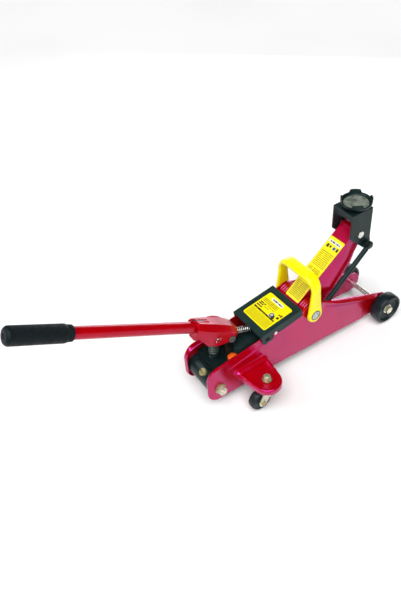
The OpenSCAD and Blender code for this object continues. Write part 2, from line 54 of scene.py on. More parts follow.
REACH, GRIP_LEN = 452.0, 116.0
COVER = (-335.0, 131.0)
COVER_SLOPE = math.radians(9.37)
FRAME_HALF, PLATE_IN, WHEEL_R = 45.0, 41.5, 35.0
EAR_X, EAR_Y, EAR_TOP, EAR_LOW, EAR_R = -358.0, 96.0, 69.0, 56.0, 30.0
NOSE_X, NOSE_Z, NOSE_R = -5.0, 38.5, 25.5
SADDLE_X, PLATE_Z, SADDLE_R = -62.16, 301.81, 32.0
LUG_AT, LUG_SPAN = 51.0, 25.0
PUMP_X, CAP_Z = -417.0, 151.7
NEAR, FAR = -1.0, 1.0
SIDES = ((NEAR, "right"), (FAR, "left"))


def at(x, y, z):
    """A point given in mm from the front axle, in the shared frame."""
    return Vector(((x + AXLE_X) / 1000.0, y / 1000.0, z / 1000.0))


def turned(origin, angle, a, y, b):
    """A point in a frame tilted by angle about Y: a runs along it, b stands on it."""
    c, s = math.cos(angle), math.sin(angle)
    return at(origin[0] + a * c - b * s, y, origin[1] + a * s + b * c)


def in_arm(a, y, b):
    return turned(PIVOT, ARM_ANGLE, a, y, b)


def in_cover(u, y, w):
    return turned(COVER, COVER_SLOPE, u, y, w)


def on_handle(s, y, h):
    """s runs back along the handle from the socket's pivot."""
    return turned(SOCKET, -HANDLE_ANGLE, -s, y, h)


def smooth(t):
    t = min(1.0, max(0.0, t))
    return t * t * (3.0 - 2.0 * t)


def circle(n):
    """Cosine and sine of n even steps round a circle."""
    return [(math.cos(2 * math.pi * k / n), math.sin(2 * math.pi * k / n)) for k in range(n)]


def arc(cx, cz, r, start, stop, n=14):
    """Points of an arc; start and stop are in degrees."""
    return [(cx + r * math.cos(math.radians(start + (stop - start) * i / n)),
             cz + r * math.sin(math.radians(start + (stop - start) * i / n)))
            for i in range(n + 1)]


def between(points, x):
    """The value at x of a line through sorted points."""
    for (x0, v0), (x1, v1) in zip(points, points[1:]):
        if x <= x1:
            return v0 + (v1 - v0) * max(0.0, x - x0) / (x1 - x0)
    return points[-1][1]


# ---------------------------------------------------------------- finishes

def noise(tree, coords, scale, detail=3.0, rough=0.5):
    n = tree.nodes.new("ShaderNodeTexNoise")
    n.inputs["Scale"].default_value = scale
    n.inputs["Detail"].default_value = detail
    n.inputs["Roughness"].default_value = rough
    tree.links.new(coords, n.inputs["Vector"])
    return n.outputs["Fac"]


def ranged(tree, value, low, high, start=0.3, stop=0.7):
    """The value, taken from start..stop to low..high."""
    m = tree.nodes.new("ShaderNodeMapRange")
    m.inputs["From Min"].default_value = start
    m.inputs["From Max"].default_value = stop
    m.inputs["To Min"].default_value = low
    m.inputs["To Max"].default_value = high
    tree.links.new(value, m.inputs["Value"])
    return m.outputs["Result"]


def mixed(tree, factor, a, b):
    """A mix of two colours; each is a tuple or the output of another node."""
    m = tree.nodes.new("ShaderNodeMix")
    m.data_type = "RGBA"
    tree.links.new(factor, m.inputs[0])
    for place, colour in ((6, a), (7, b)):
        if isinstance(colour, tuple):
            m.inputs[place].default_value = (*colour, 1.0)
        else:
            tree.links.new(colour, m.inputs[place])
    return m.outputs[2]


def finish(name, colour, second, rough, metal=0.0, grain=60.0, bump=0.02, fine=900.0,
           wear=None, wear_amount=0.0, ior=1.5, tint=None, coat=0.0, coat_rough=0.1):
    """A procedural material: slow colour variation, worn specks, uneven gloss and fine bump."""
    mat = bpy.data.materials.new(name)
    mat.use_nodes = True
    tree = mat.node_tree
    shader = tree.nodes["Principled BSDF"]
    coords = tree.nodes.new("ShaderNodeTexCoord").outputs["Object"]
    slow = noise(tree, coords, grain)
    base = mixed(tree, ranged(tree, slow, 0.0, 1.0), colour, second)
    if wear:
        specks = noise(tree, coords, grain * 6.0, 6.0, 0.65)
        worn = ranged(tree, specks, 0.0, 1.0, 0.70 - wear_amount, 0.74 - wear_amount)
        base = mixed(tree, worn, base, wear)
    tree.links.new(base, shader.inputs["Base Color"])
    tree.links.new(ranged(tree, noise(tree, coords, grain * 2.5), rough * 0.8, rough * 1.25),
                   shader.inputs["Roughness"])
    shader.inputs["Metallic"].default_value = metal
    shader.inputs["IOR"].default_value = ior
    if tint:
        shader.inputs["Specular Tint"].default_value = (*tint, 1.0)
    shader.inputs["Coat Weight"].default_value = coat
    shader.inputs["Coat Roughness"].default_value = coat_rough
    b = tree.nodes.new("ShaderNodeBump")
    b.inputs["Strength"].default_value = bump
    b.inputs["Distance"].default_value = 0.001
    tree.links.new(noise(tree, coords, fine, 2.0), b.inputs["Height"])
    tree.links.new(b.outputs["Normal"], shader.inputs["Normal"])
    return mat


RED = finish("red_paint_finish", (0.44, 0.0, 0.002), (0.37, 0.0, 0.003), 0.20, grain=18.0,
             bump=0.05, fine=260.0, wear=(0.30, 0.0, 0.006), ior=2.1,
             tint=(0.95, 0.10, 0.85), coat=0.18, coat_rough=0.06)
SOCKET_RED = finish("red_socket_finish", (0.48, 0.0, 0.002), (0.41, 0.0, 0.003), 0.22,
                    grain=18.0, bump=0.05, fine=260.0, ior=1.65, tint=(0.9, 0.2, 0.6),
                    coat=0.12, coat_rough=0.06)
SPRING_RED = finish("red_spring_finish", (0.50, 0.0, 0.004), (0.40, 0.0, 0.006), 0.22,
                    grain=40.0, bump=0.05, ior=1.9, tint=(0.8, 0.3, 0.9), coat=0.4)
BLACK_PAINT = finish("black_paint_finish", (0.010, 0.022, 0.022), (0.004, 0.010, 0.011), 0.32,
                     grain=30.0, bump=0.10, wear=(0.05, 0.07, 0.07), ior=1.34,
                     tint=(0.7, 0.9, 0.9))
COVER_BLACK = finish("cover_black_finish", (0.014, 0.034, 0.032), (0.008, 0.020, 0.019), 0.40,
                     grain=26.0, bump=0.18, fine=1400.0, wear=(0.026, 0.05, 0.05), ior=1.38,
                     tint=(0.6, 0.9, 0.9))
YELLOW = finish("yellow_plastic_finish", (1.0, 0.93, 0.0), (1.0, 0.86, 0.0), 0.33, grain=24.0,
                bump=0.06, wear=(0.95, 0.74, 0.01))
LABEL = finish("yellow_label_finish", (0.98, 0.84, 0.0), (0.92, 0.76, 0.0), 0.38, grain=40.0,
               bump=0.03)
RUBBER = finish("black_rubber_finish", (0.003, 0.007, 0.009), (0.006, 0.011, 0.013), 0.46,
                grain=45.0, bump=0.30, fine=1300.0, wear=(0.010, 0.014, 0.015), ior=1.25)
ORANGE = finish("orange_plug_finish", (0.95, 0.16, 0.01), (0.85, 0.10, 0.0), 0.40, grain=90.0,
                bump=0.10)
WHEEL = finish("wheel_black_finish", (0.010, 0.020, 0.024), (0.005, 0.010, 0.012), 0.34,
               grain=32.0, bump=0.10, wear=(0.03, 0.04, 0.04), ior=1.34)
CASTER = finish("caster_black_finish", (0.006, 0.012, 0.016), (0.012, 0.018, 0.022), 0.42,
                grain=60.0, bump=0.12, wear=(0.03, 0.035, 0.04), ior=1.36)
GOLD = finish("yellow_zinc_finish", (0.80, 0.76, 0.50), (0.62, 0.60, 0.36), 0.28, metal=0.75,
              grain=140.0, bump=0.08, wear=(0.42, 0.36, 0.16))
ZINC = finish("zinc_finish", (0.80, 0.81, 0.74), (0.62, 0.63, 0.56), 0.26, metal=0.8,
              grain=120.0, bump=0.06, wear=(0.34, 0.34, 0.30))
CHROME = finish("chrome_finish", (0.78, 0.80, 0.80), (0.66, 0.68, 0.69), 0.12, metal=1.0,
                grain=80.0, bump=0.02)
STEEL = finish("steel_finish", (0.42, 0.44, 0.43), (0.30, 0.32, 0.31), 0.32, metal=0.85,
               grain=110.0, bump=0.10, wear=(0.16, 0.15, 0.13))
SPRING = finish("spring_steel_finish", (0.55, 0.57, 0.57), (0.40, 0.42, 0.42), 0.24, metal=0.9,
                grain=160.0, bump=0.05)
BRASS = finish("brass_finish", (0.50, 0.44, 0.20), (0.36, 0.32, 0.15), 0.32, metal=0.7,
               grain=140.0, bump=0.10, wear=(0.12, 0.12, 0.08))
SEAT_GREY = finish("seat_grey_finish", (0.34, 0.38, 0.31), (0.10, 0.12, 0.10), 0.34, metal=0.3,
                   grain=85.0, bump=0.35, wear=(0.62, 0.66, 0.58), wear_amount=0.10)
MOTTLED = finish("mottled_cap_finish", (0.78, 0.80, 0.78), (0.22, 0.24, 0.24), 0.22, metal=0.8,
                 grain=330.0, bump=0.30, fine=500.0)
DARK_STEEL = finish("dark_steel_finish", (0.16, 0.20, 0.18), (0.07, 0.10, 0.09), 0.34, metal=0.6,
                    grain=120.0, bump=0.10, wear=(0.25, 0.27, 0.25))
PALE_ZINC = finish("pale_zinc_finish", (0.74, 0.76, 0.62), (0.50, 0.50, 0.36), 0.30, metal=0.55,
                   grain=150.0, bump=0.08, wear=(0.42, 0.36, 0.18))
DULL_GOLD = finish("dull_gold_finish", (0.46, 0.36, 0.18), (0.30, 0.22, 0.10), 0.38, metal=0.6,
                   grain=150.0, bump=0.12, wear=(0.16, 0.12, 0.06))
INK = finish("label_black_finish", (0.02, 0.02, 0.01), (0.04, 0.035, 0.01), 0.45, grain=200.0)
OLIVE = finish("label_olive_finish", (0.42, 0.37, 0.0), (0.32, 0.28, 0.0), 0.45, grain=200.0)
WHITE = finish("label_white_finish", (0.86, 0.86, 0.86), (0.76, 0.76, 0.78), 0.40, grain=80.0)
BLUE = finish("label_blue_finish", (0.03, 0.10, 0.45), (0.02, 0.07, 0.34), 0.40, grain=90.0)

SLOT_FINISH = {
    "red_paint": RED, "red_spring": SPRING_RED, "black_paint": BLACK_PAINT,
    "cover_black": COVER_BLACK, "yellow_plastic": YELLOW, "yellow_label": LABEL,
    "black_rubber": RUBBER, "orange_plug": ORANGE, "wheel_black": WHEEL,
    "caster_black": CASTER, "yellow_zinc": GOLD, "zinc": ZINC, "chrome": CHROME,
    "steel": STEEL, "spring_steel": SPRING, "brass": BRASS,
}
NODE_SLOT = {part["node"]: part["material_slot"] for part in frame["record"]["subparts"]}


# ---------------------------------------------------------------- building pieces

def piece(name, verts, faces, body, slot, stands_for=(), bevel=0.0, segments=2, crease=32.0,
          material=None):
    """A mesh in the shared frame that rides on a body; verts are already in metres."""
    mesh = bpy.data.meshes.new(name)
    mesh.from_pydata([tuple(v) for v in verts], [], faces)
    obj = bpy.data.objects.new(name, mesh)
    bpy.context.scene.collection.objects.link(obj)
    bm = bmesh.new()
    bm.from_mesh(mesh)
    bmesh.ops.remove_doubles(bm, verts=bm.verts, dist=1e-6)
    bmesh.ops.recalc_face_normals(bm, faces=bm.faces)
    bm.to_mesh(mesh)
    bm.free()
    return dressed(obj, body, slot, stands_for, bevel, segments, crease, material)


def dressed(obj, body, slot, stands_for=(), bevel=0.0, segments=2, crease=32.0, material=None):
    """Gives an object its finish (its slot's, unless a material is given), soft edges and body, and
    hides the nodes that it replaces.
    """
    mesh = obj.data
    mesh.materials.clear()
    mesh.materials.append(material or SLOT_FINISH[slot])
    for p in mesh.polygons:
        p.use_smooth = True
    mesh.set_sharp_from_angle(angle=math.radians(crease))
    if bevel:
        m = obj.modifiers.new("edge", "BEVEL")
        m.width = bevel / 1000.0
        m.segments = segments
        m.limit_method = "ANGLE"
        m.angle_limit = math.radians(crease)
        m.harden_normals = True
    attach(obj, body)
    if stands_for:
        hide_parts(*stands_for)
    return obj


BODY_OF = {n: b for b, ns in frame["record"]["behaviour"]["bodies"].items() for n in ns}


def softened(node, bevel, segments=2, crease=32.0, material=None, slot=None):
    """A copy of a CAD node with its flat faces joined and its edges rounded."""
    source = frame["nodes"][node]
    mesh = source.data.copy()
    mesh.name = node + "_finished"
    obj = bpy.data.objects.new(node + "_finished", mesh)
    bpy.context.scene.collection.objects.link(obj)
    bm = bmesh.new()
    bm.from_mesh(mesh)
    bmesh.ops.remove_doubles(bm, verts=bm.verts, dist=2e-6)
    bmesh.ops.dissolve_limit(bm, angle_limit=math.radians(0.6), verts=bm.verts, edges=bm.edges)
    bmesh.ops.recalc_face_normals(bm, faces=bm.faces)
    bm.to_mesh(mesh)
    bm.free()
    return dressed(obj, BODY_OF[node], slot or NODE_SLOT[node], (node,), bevel, segments,
                   crease, material)


def loft(rings, closed=True, cap_start=True, cap_end=True):
    """Vertices and faces of a skin over rings that have the same number of points."""
    n = len(rings[0])
    verts = [v for ring in rings for v in ring]
    faces = []
    for i in range(len(rings) - 1):
        for k in range(n if closed else n - 1):
            a, b = i * n + k, i * n + (k + 1) % n
            faces.append((a, b, b + n, a + n))
    if closed and cap_start:
        faces.append(tuple(range(n - 1, -1, -1)))
    if closed and cap_end:
        faces.append(tuple((len(rings) - 1) * n + k for k in range(n)))
    return verts, faces


def joined(*shells):
    """Several skins as one."""
    verts, faces = [], []
    for v, f in shells:
        start = len(verts)
        verts += list(v)
        faces += [tuple(i + start for i in face) for face in f]
    return verts, faces


def block(place, a0, a1, y0, y1, b0, b1):
    """A box in one of the tilted frames; place turns (a, y, b) into a point."""
    ring = [(y0, b0), (y1, b0), (y1, b1), (y0, b1)]
    return loft([[place(a, y, b) for y, b in ring] for a in (a0, a1)])


def turned_about_y(profile, x, z, side=1.0, n=64):
    """profile is (radius, y) pairs round the axis at x, z."""
    return loft([[at(x + r * c, side * y, z + r * s) for c, s in circle(n)]
                 for r, y in profile])


def swept(path, radius, n=16):
    """A round wire along a path of points."""
    rings = []
    side = None
    for i, p in enumerate(path):
        t = (path[min(i + 1, len(path) - 1)] - path[max(i - 1, 0)]).normalized()
        if side is None:
            side = t.orthogonal().normalized()
        side = (side - t * side.dot(t)).normalized()
        up = t.cross(side)
        rings.append([p + (side * c + up * s) * radius for c, s in circle(n)])
    return loft(rings)


def coil(radius, length, turns, place, steps=28):
    """Points of a helix; place turns (x, y, height) into a point of the frame."""
    points = []
    for i in range(int(turns * steps) + 1):
        t = 2 * math.pi * i / steps
        points.append(place(radius * math.cos(t), radius * math.sin(t),
                            length * i / (turns * steps)))
    return points


# ---------------------------------------------------------------- side plates

# The band above RIB is stamped inwards. It is flat again round the pivot and the rear bolt.
RIB = [(-470, 76), (-420, 84), (-353, 96), (-286, 123), (-222, 133), (-188, 123), (-174, 116),
       (-51, 65), (-30, 56), (40, 30)]
BAND_DEPTH, BAND_SLOPE, BAND_START, BAND_FADE = 1.7, 4.0, -424.0, 26.0
REAR_BOLT = (-436.0, 49.0)
PIVOT_FLAT, BOLT_FLAT = 34.0, 20.0
END_BEND, END_START, END_RUN = 2.4, -440.0, 22.0       # the rear end leans inwards
JOGGLE, JOGGLE_START, HUB_FLAT = 1.6, -50.0, 13.0      # the step near the front axle
EAR_REAR, EAR_FRONT, FOLD_R = -402.0, -317.0, 12.0     # the fold where the ear stands out
PLATE_BACK = -462.9
RIM_FAR, RIM_NEAR = 8.0, 3.2


LOW_CORNER, HIGH_CORNER = (-439.5, 42.5, 23.5), (-435.0, 77.0, 28.0)
TOP_EDGE = (arc(*LOW_CORNER, 180, 180.5, 1) + arc(*HIGH_CORNER, 180, 99)
            + [(-345, 119.9), (-226, 138.0)] + arc(*PIVOT, 22, 122, 62)
            + [(4.2, 61.6)] + arc(NOSE_X, NOSE_Z, NOSE_R, 67, 0))
LOW_EDGE = (arc(*LOW_CORNER, 180, 270) + [(-384, 19.8), (-301, 25.5), (-146, 21)]
            + arc(NOSE_X, NOSE_Z, NOSE_R, -93, 0))


def plate_height(x):
    """Lowest and highest point of the plate's outline at x."""
    return between(LOW_EDGE, x), between(TOP_EDGE, x)


def plate_face(x, z):
    """Distance of the stamped outer face from the middle plane."""
    band = (BAND_DEPTH * smooth((z - between(RIB, x)) / BAND_SLOPE)
            * smooth((x - BAND_START) / BAND_FADE))
    end = END_BEND * smooth((END_START - x) / END_RUN) ** 1.5
    flat = max(smooth((PIVOT_FLAT - math.hypot(x - PIVOT[0], z - PIVOT[1])) / 5),
               smooth((BOLT_FLAT - math.hypot(x - REAR_BOLT[0], z - REAR_BOLT[1])) / 4))
    joggle = (JOGGLE * smooth((x - JOGGLE_START) / 9)
              * smooth((math.hypot(x, z - WHEEL_R) - HUB_FLAT) / 4))
    y = FRAME_HALF - max(band * (1 - flat), joggle) - end
    reach = smooth((x - EAR_REAR) / 9) * smooth((EAR_FRONT - x) / 9)
    rise = z - EAR_TOP
    if -3 < rise < FOLD_R:
        curve = FOLD_R - math.sqrt(max(0.0, FOLD_R ** 2 - (FOLD_R - max(rise, 0.0)) ** 2))
        y += curve * reach * (1.0 if rise >= 0 else smooth((rise + 3) / 3))
    return y


def plate_levels(low, high):
    """Heights of the rows of faces, closest together at the level of the caster's ear."""
    ear_low = min(50.0, low + 0.3 * (high - low))
    ear_high = min(90.0, low + 0.75 * (high - low))
    levels = []
    for start, stop, rows in ((low, ear_low, 8), (ear_low, ear_high, 38), (ear_high, high, 14)):
        levels += [start + (stop - start) * k / rows for k in range(rows)]
    return levels + [high]


def side_plate(side, name, node):
    """The stamped plate, thin strip by thin strip from its rear end to its nose."""
    left, right = PLATE_BACK, NOSE_X + NOSE_R - 0.1
    bunched, step = 60, 4.2                    # closest together at both ends
    columns = [left + (right - left) * (1 - math.cos(math.pi * i / bunched)) / 2
               for i in range(bunched + 1)]
    columns = sorted(set(columns + [left + step * i for i in range(1, 115)]))
    rings = []
    for x in columns:
        low, high = plate_height(x)
        high = max(high, low + 0.4)
        rings.append([at(x, side * plate_face(x, z), z) for z in plate_levels(low, high)]
                     + [at(x, side * PLATE_IN, z) for z in (high, low)])
    verts, faces = loft(rings)
    return piece(name, verts, faces, "frame", "red_paint", (node,), bevel=0.9, segments=3,
                 crease=50.0)


def plate_rim(side, name, width):
    """The rear end's edge, turned inwards."""
    path = (arc(*LOW_CORNER, 285, 180) + arc(*HIGH_CORNER, 180, 99)
            + [(-400, 110.8), (-370, 115.7), (-345, 119.8)])
    rings = []
    for i, (x, z) in enumerate(path):
        x0, z0 = path[max(i - 1, 0)]
        x1, z1 = path[min(i + 1, len(path) - 1)]
        run = math.hypot(x1 - x0, z1 - z0)
        nx, nz = (z1 - z0) / run, -(x1 - x0) / run
        fade = smooth(i / 3) * smooth((len(path) - 1 - i) / 2)
        rings.append([at(x + nx * depth, side * (PLATE_IN + 1.0 - (1.0 + w) * max(fade, 0.05)),
                         z + nz * depth)
                      for depth, w in ((0.2, -1.0), (0.2, width - 3), (1.4, width),
                                       (2.6, width), (3.0, width - 1), (3.0, -1.0))])
    verts, faces = loft(rings)
    return piece(name, verts, faces, "frame", "red_paint", crease=50.0)


def plate_flange(side, name):
    """The edge turned outwards along the falling front of the plate."""
    back, step, count = -179, 3, 58
    top = [(back, 136.9), (-8, 66.3)]
    width = [(back, 0.4), (-160, 5.5), (-142, 12.6), (-130, 14.6), (-44, 14.6), (-24, 11.0),
             (-8, 0.6)]
    rings = []
    for i in range(count):
        x = back + step * i
        z = between(top, x)
        w = between(width, x)
        y0, y1 = FRAME_HALF - 2.6, FRAME_HALF - 1.6 + w
        rings.append([at(x, side * y0, z), at(x, side * (y1 - 1.0), z - 0.3),
                      at(x, side * y1, z - 1.2), at(x, side * (y1 - 0.7), z - 2.9),
                      at(x, side * (y0 + 1.2), z - 3.2), at(x, side * y0, z - 3.2)])
    verts, faces = loft(rings)
    return piece(name, verts, faces, "frame", "red_paint", crease=45.0)


def ear_outline(inset):
    """The D shape of a caster's ear, from its rear root round to its front root."""
    rear_tangent, front_tangent = 169.3, 8.2
    bend = arc(EAR_X, EAR_Y, EAR_R - inset, rear_tangent, front_tangent, 32)
    low = FRAME_HALF - 1.0

    def straight(root_x, end, shares):
        return [(root_x + (end[0] - root_x) * f, low + (end[1] - low) * f) for f in shares]

    return (straight(-398.2 + inset, bend[0], (0.0, 0.25, 0.5, 0.75)) + bend
            + straight(-320.3 - inset, bend[-1], (0.75, 0.5, 0.25, 0.0)))


def caster_ear(side, name, node):
    """Pressed ear: rounded shoulder, shallow dish round the bolt, hollow underneath."""
    shoulder = 3.6
    rows = [(3.0, EAR_LOW), (0.3, EAR_LOW), (0.0, EAR_LOW + 0.8), (0.0, EAR_TOP - shoulder)]
    for a in range(15, 91, 15):
        t = math.radians(a)
        rows.append((shoulder * (1 - math.cos(t)), EAR_TOP - shoulder * (1 - math.sin(t))))
    rows += [(4.8, EAR_TOP), (6.4, EAR_TOP - 0.5), (9.5, EAR_TOP - 1.5), (13.0, EAR_TOP - 1.7)]
    rings = [[at(x, side * y, z) for x, y in ear_outline(inset)] for inset, z in rows]
    under = [[at(x, side * y, z) for x, y in ear_outline(3.4)]
             for z in (EAR_LOW, EAR_TOP - 4.4)]
    verts, faces = loft(under[::-1] + rings)
    return piece(name, verts, faces, "frame", "red_paint", (node,), crease=38.0)


for side, word in SIDES:
    side_plate(side, "plate_" + word, "side_plate_" + word)
    plate_rim(side, "plate_rim_" + word, RIM_FAR if side == FAR else RIM_NEAR)
    plate_flange(side, "plate_flange_" + word)
    caster_ear(side, "caster_ear_" + word, "caster_mount_" + word)


# ---------------------------------------------------------------- carry handle

def carry_handle():
    """A flat moulded bail: two round bosses, legs that narrow upwards, a wide arched bar."""
    mid, corner, rise = 51.9, 25.0, 86.2
    boss_r, leg, bar = 18.0, 10.8, 13.4        # half widths
    thick, extra = 4.4, 1.1                    # half thickness, and what the bar has on top
    path = []                                  # (y, z above pivot, half width, half thickness)
    for i in range(13):                        # boss, from its lowest point up
        a = math.radians(-90 + 7.5 * i)
        path.append((mid, boss_r * math.sin(a), max(2.5, boss_r * math.cos(a)), thick))
    for i in range(1, 15):
        z = (rise - corner) * i / 14
        taper = (1 - z / (rise - corner)) ** 1.25
        path.append((mid, z, leg + (boss_r - leg) * taper, thick))
    for a in range(8, 91, 8):
        t = math.radians(a)
        path.append((mid - corner * (1 - math.cos(t)), rise - corner + corner * math.sin(t),
                     leg + (bar - leg) * smooth(a / 90), thick + extra * smooth(a / 90)))
    half = path + [(y, rise, bar, thick + extra) for y in (mid - corner - 4, 12, 0)]
    whole = half + [(-y, z, w, t) for y, z, w, t in half[-2::-1]]
    rings = []
    for i, (y, z, w, t) in enumerate(whole):
        y0, z0 = whole[max(i - 1, 0)][:2]
        y1, z1 = whole[min(i + 1, len(whole) - 1)][:2]
        run = math.hypot(y1 - y0, z1 - z0)
        ny, nz = (z1 - z0) / run, -(y1 - y0) / run
        ring = []
        for c, s in circle(24):
            across = w * math.copysign(abs(c) ** 0.55, c)
            through = t * math.copysign(abs(s) ** 0.55, s)
            ring.append(at(PIVOT[0] + across, y + ny * through, PIVOT[1] + z + nz * through))
        rings.append(ring)
    shells = [loft(rings)]
    lip = [(11.4, 54.0), (11.4, 56.2), (12.2, 57.0), (14.6, 57.0), (16.0, 56.2), (17.2, 54.4),
           (17.2, 53.0)]
    for side in (NEAR, FAR):
        shells.append(turned_about_y(lip, *PIVOT, side))
    verts, faces = joined(*shells)
    piece("carry_handle_moulding", verts, faces, "carry", "yellow_plastic",
          ("carry_handle",), crease=50.0)
    for side, word in SIDES:
        # Painted shade: a dark ring over the rim of each shaft cap, standing in for the shade in the
        # gap between the cap and the handle's boss.
        verts, faces = turned_about_y([(9.4, 56.6), (11.2, 56.6), (11.2, 57.3), (10.6, 57.5),
                                       (9.6, 57.3), (9.4, 56.6)], *PIVOT, side)
        piece("cap_gap_shade_" + word, verts, faces, "frame", "chrome", material=DARK_STEEL)


carry_handle()


# ---------------------------------------------------------------- handle, socket, grip

def handle_socket():
    """Pressed channel over the pump: flat crown, sloping shoulders, deep cheeks."""
    #          s   crown half, crown, shoulder half, shoulder, cheek half, foot
    stations = [(-15, 10.0, 18.5, 15.0, 15.5, 18.5, 8.0), (-10, 12.0, 20.0, 19.0, 15.5, 22.5, 3.0),
                (-2, 13.0, 22.5, 21.0, 16.8, 24.0, -4.0), (10, 13.5, 25.0, 21.5, 18.3, 24.0, -9.5),
                (28, 13.5, 27.2, 21.5, 19.5, 24.0, -16.0), (56, 12.5, 28.6, 20.5, 20.5, 23.6, -14.0),
                (64, 11.5, 28.9, 19.2, 21.2, 22.6, -9.0), (80, 10.5, 29.1, 17.6, 21.8, 20.0, 1.0),
                (88, 10.0, 29.1, 17.0, 22.0, 18.5, 6.5)]
    thick = 3.0
    outer, inner = [], []
    for s, cw, ch, sw, sh, kw, foot in stations:
        right = [(kw, foot), (kw, sh - 3.6), (sw, sh), (cw, ch)]
        outer.append([on_handle(s, y, z) for y, z in right + [(-y, z) for y, z in right[::-1]]])
        low = [(kw - thick, foot), (kw - thick, sh - 5), (sw - 2.2, sh - 2.4), (cw - 1, ch - thick)]
        inner.append([on_handle(s, y, z) for y, z in low + [(-y, z) for y, z in low[::-1]]])
    rings = [o + i[::-1] for o, i in zip(outer, inner)]
    shells = [loft(rings)]
    mouth = []                                 # a split sleeve, cut back except along its top
    inner_end, outer_end, cut_back = 58.0, 95.0, 14.0
    for s, grow in ((inner_end, 0.0), (86, 0.0), (88, 0.4), (89.5, 1.6), (94, 1.6),
                    (outer_end, 0.9)):
        ring = []
        for r in (16.3 + grow, TUBE_R + 0.15):
            span = range(0, 33) if r > 12 else range(32, -1, -1)
            for k in span:
                turn = 98 + 344 * k / 32
                a = math.radians(turn)
                cut = cut_back * smooth((turn - 100) / 50) * smooth((440 - turn) / 50)
                back = s - cut * (s - inner_end) / (outer_end - inner_end)
                ring.append(on_handle(back, r * math.cos(a), HANDLE_RISE + r * math.sin(a)))
        mouth.append(ring)
    shells.append(loft(mouth))
    clamp = ((-8.5, -11), (8.5, -11), (10, -9), (11, 1), (-11, 1), (-10, -9))
    shells.append(loft([[on_handle(s, y, h) for y, h in clamp] for s in (64, 80)]))
    hook = ((2, 13), (10, 18), (14.5, 13), (17.5, 7), (17.5, 1), (12.5, 1), (8, 11.5))
    shells.append(loft([[on_handle(-a, y, h) for a, h in hook] for y in (-2.5, 2.5)]))
    verts, faces = joined(*shells)
    return piece("socket_pressing", verts, faces, "socket", "red_paint", ("handle_socket",),
                 bevel=1.1, segments=3, crease=26.0, material=SOCKET_RED)


def round_handle(profile, name, body, slot, stands_for, crease=32.0, material=None):
    """profile is (s, radius) pairs along the handle's axis."""
    verts, faces = loft([[on_handle(s, r * c, HANDLE_RISE + r * up) for c, up in circle(72)]
                         for s, r in profile])
    return piece(name, verts, faces, body, slot, stands_for, crease=crease, material=material)


def handle():
    """Painted tube and a moulded rubber grip with a collar, shallow ribs and a round end."""
    tube_start = 36.0                          # deep enough to stay in the mouth when pulled
    round_handle([(tube_start, TUBE_R - 2), (tube_start, TUBE_R),
                  (REACH - GRIP_LEN + 6, TUBE_R)],
                 "handle_tube_painted", "handle", "red_paint", ("handle_tube",),
                 material=SOCKET_RED)
    near = REACH - GRIP_LEN + 3.0
    profile = [(near, TUBE_R + 0.05), (near, 13.2), (near + 1.0, 14.2), (near + 8.0, 14.6),
               (near + 9.0, 13.9), (near + 10.0, 13.9), (near + 12.0, 15.8)]
    s, pitch, groove = near + 16, 3.8, 0.35
    while s < REACH - 12:                      # shallow moulded ribs
        profile += [(s, GRIP_R), (s + 2.2, GRIP_R), (s + 2.6, GRIP_R - groove),
                    (s + 3.4, GRIP_R - groove), (s + pitch, GRIP_R)]
        s += pitch
    profile += arc(REACH - 7, GRIP_R - 7, 7, 90, 0, 9)
    profile += [(REACH, 5.0), (REACH - 1.2, 4.2), (REACH - 1.2, 0.01)]
    round_handle(profile, "grip_rubber", "handle", "black_rubber", ("handle_grip",), 40.0)


def socket_slot_shade():
    """Painted shade: a black strip down in the slot that lets the mouth close on the tube, standing
    in for the shade inside the slot.
    """
    rings = [[on_handle(s, y, h) for y, h in ((-w, 27.5), (w, 27.5), (w, 29.35), (-w, 29.35))]
             for s, w in ((66, 0.5), (67.5, 2.0), (94, 2.2))]
    verts, faces = loft(rings)
    # painted shade: black fill where the slot lies in shade
    piece("socket_slot_shade", verts, faces, "socket", "black_paint")


handle_socket()
socket_slot_shade()
handle()


# ---------------------------------------------------------------- springs

COIL_WIRE, TORSION_WIRE = 0.95, 2.7             # wire radius


def wound(name, points, wire, sides, node, slot, material=None):
    verts, faces = swept(points, wire / 1000.0, sides)
    piece(name, verts, faces, BODY_OF[node], slot, (node,), crease=60.0, material=material)


def torsion_springs():
    """Two short red coils round the arm's shaft."""
    c, s = math.cos(math.radians(60)), math.sin(math.radians(60))
    for side, word in SIDES:
        def place(x, y, z):
            return at(PIVOT[0] + x * c - y * s, side * (24.5 + z), PIVOT[1] + x * s + y * c)
        wound("torsion_coil_" + word, coil(21.6, 14.25, 2.5, place, 40), TORSION_WIRE, 18,
              "torsion_spring_" + word, "red_spring")


def plunger_spring():
    """It stands on the pump's sleeve and ends under the plunger's cap."""
    low, high = 105.0, CAP_Z - 4.0

    def place(x, y, z):
        return at(PUMP_X + x, y, low - 1.0 + z)

    wound("plunger_coil", coil(9.2, high - low, 7, place), COIL_WIRE, 12, "plunger_spring",
          "spring_steel", DARK_STEEL)


def return_spring():
    """It runs forward and down from the socket to below the cover."""
    top, tilt = (-368.0, 133.0), math.radians(-21.5)
    c, s = math.cos(tilt), math.sin(tilt)

    def place(x, y, z):
        return at(top[0] + z * c + y * s, x, top[1] + z * s - y * c)

    wound("return_coil", coil(5.7, 44, 9, place), COIL_WIRE, 12, "return_spring",
          NODE_SLOT["return_spring"], CHROME)


torsion_springs()
plunger_spring()
return_spring()


# ---------------------------------------------------------------- saddle

